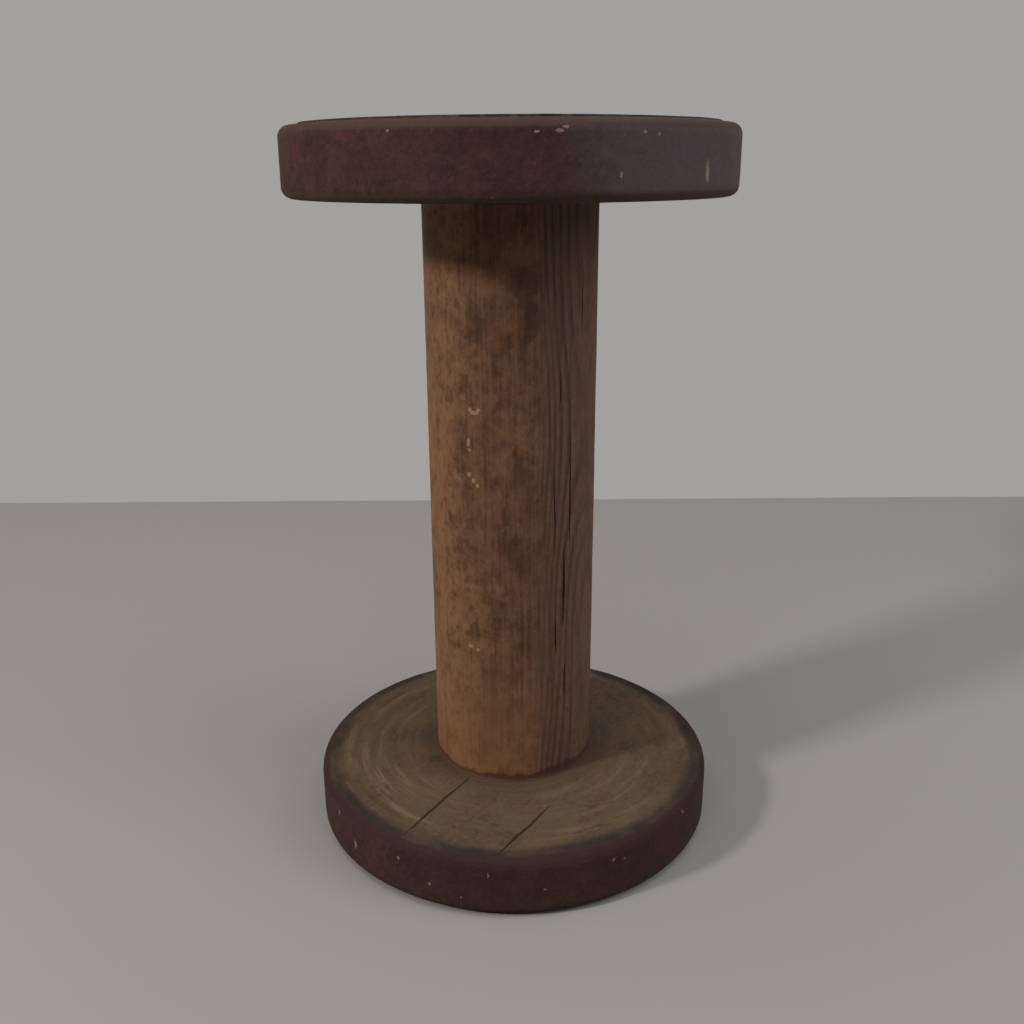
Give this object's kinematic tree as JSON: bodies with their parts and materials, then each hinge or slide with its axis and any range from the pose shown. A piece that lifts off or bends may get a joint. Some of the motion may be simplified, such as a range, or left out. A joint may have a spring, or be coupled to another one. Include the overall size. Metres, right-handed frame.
{
  "type": "wooden bobbin",
  "caption": "Flanged wooden mill bobbin: a bored round barrel between two thick round flanges with worn oxblood-painted rims, and a steel spindle bush in each end.",
  "frame": {"origin": "centre of the lower outer face, on which the bobbin stands", "axes": "+Z along the barrel and the spindle bore, from the lower flange to the upper; +X and +Y across, with the front of the picture at -Y"},
  "size_m": [0.165, 0.165, 0.2794],
  "materials": {
    "barrel_wood": "turned softwood, bare, handled and stained warm brown",
    "weathered_wood": "bare turned face, grey-brown, with worn oxblood paint round the rim",
    "oxblood_painted_wood": "rough, worn oxblood paint",
    "peg_wood": "hardwood pins, bare",
    "bush_steel": "dull steel with light rust",
    "nail_iron": "dark iron"
  },
  "bodies": {
    "root": {"barrel": "barrel_wood", "lower_inner_ply": "weathered_wood", "upper_inner_ply": "weathered_wood", "lower_middle_ply": "oxblood_painted_wood", "upper_middle_ply": "oxblood_painted_wood", "lower_outer_ply": "oxblood_painted_wood", "upper_outer_ply": "oxblood_painted_wood", "lower_bush": "bush_steel", "upper_bush": "bush_steel", "lower_bush_screws": "bush_steel", "upper_bush_screws": "bush_steel", "lower_lock_pins": "peg_wood", "upper_lock_pins": "peg_wood", "lower_ply_nails": "nail_iron", "upper_ply_nails": "nail_iron"}
  },
  "joints": []
}
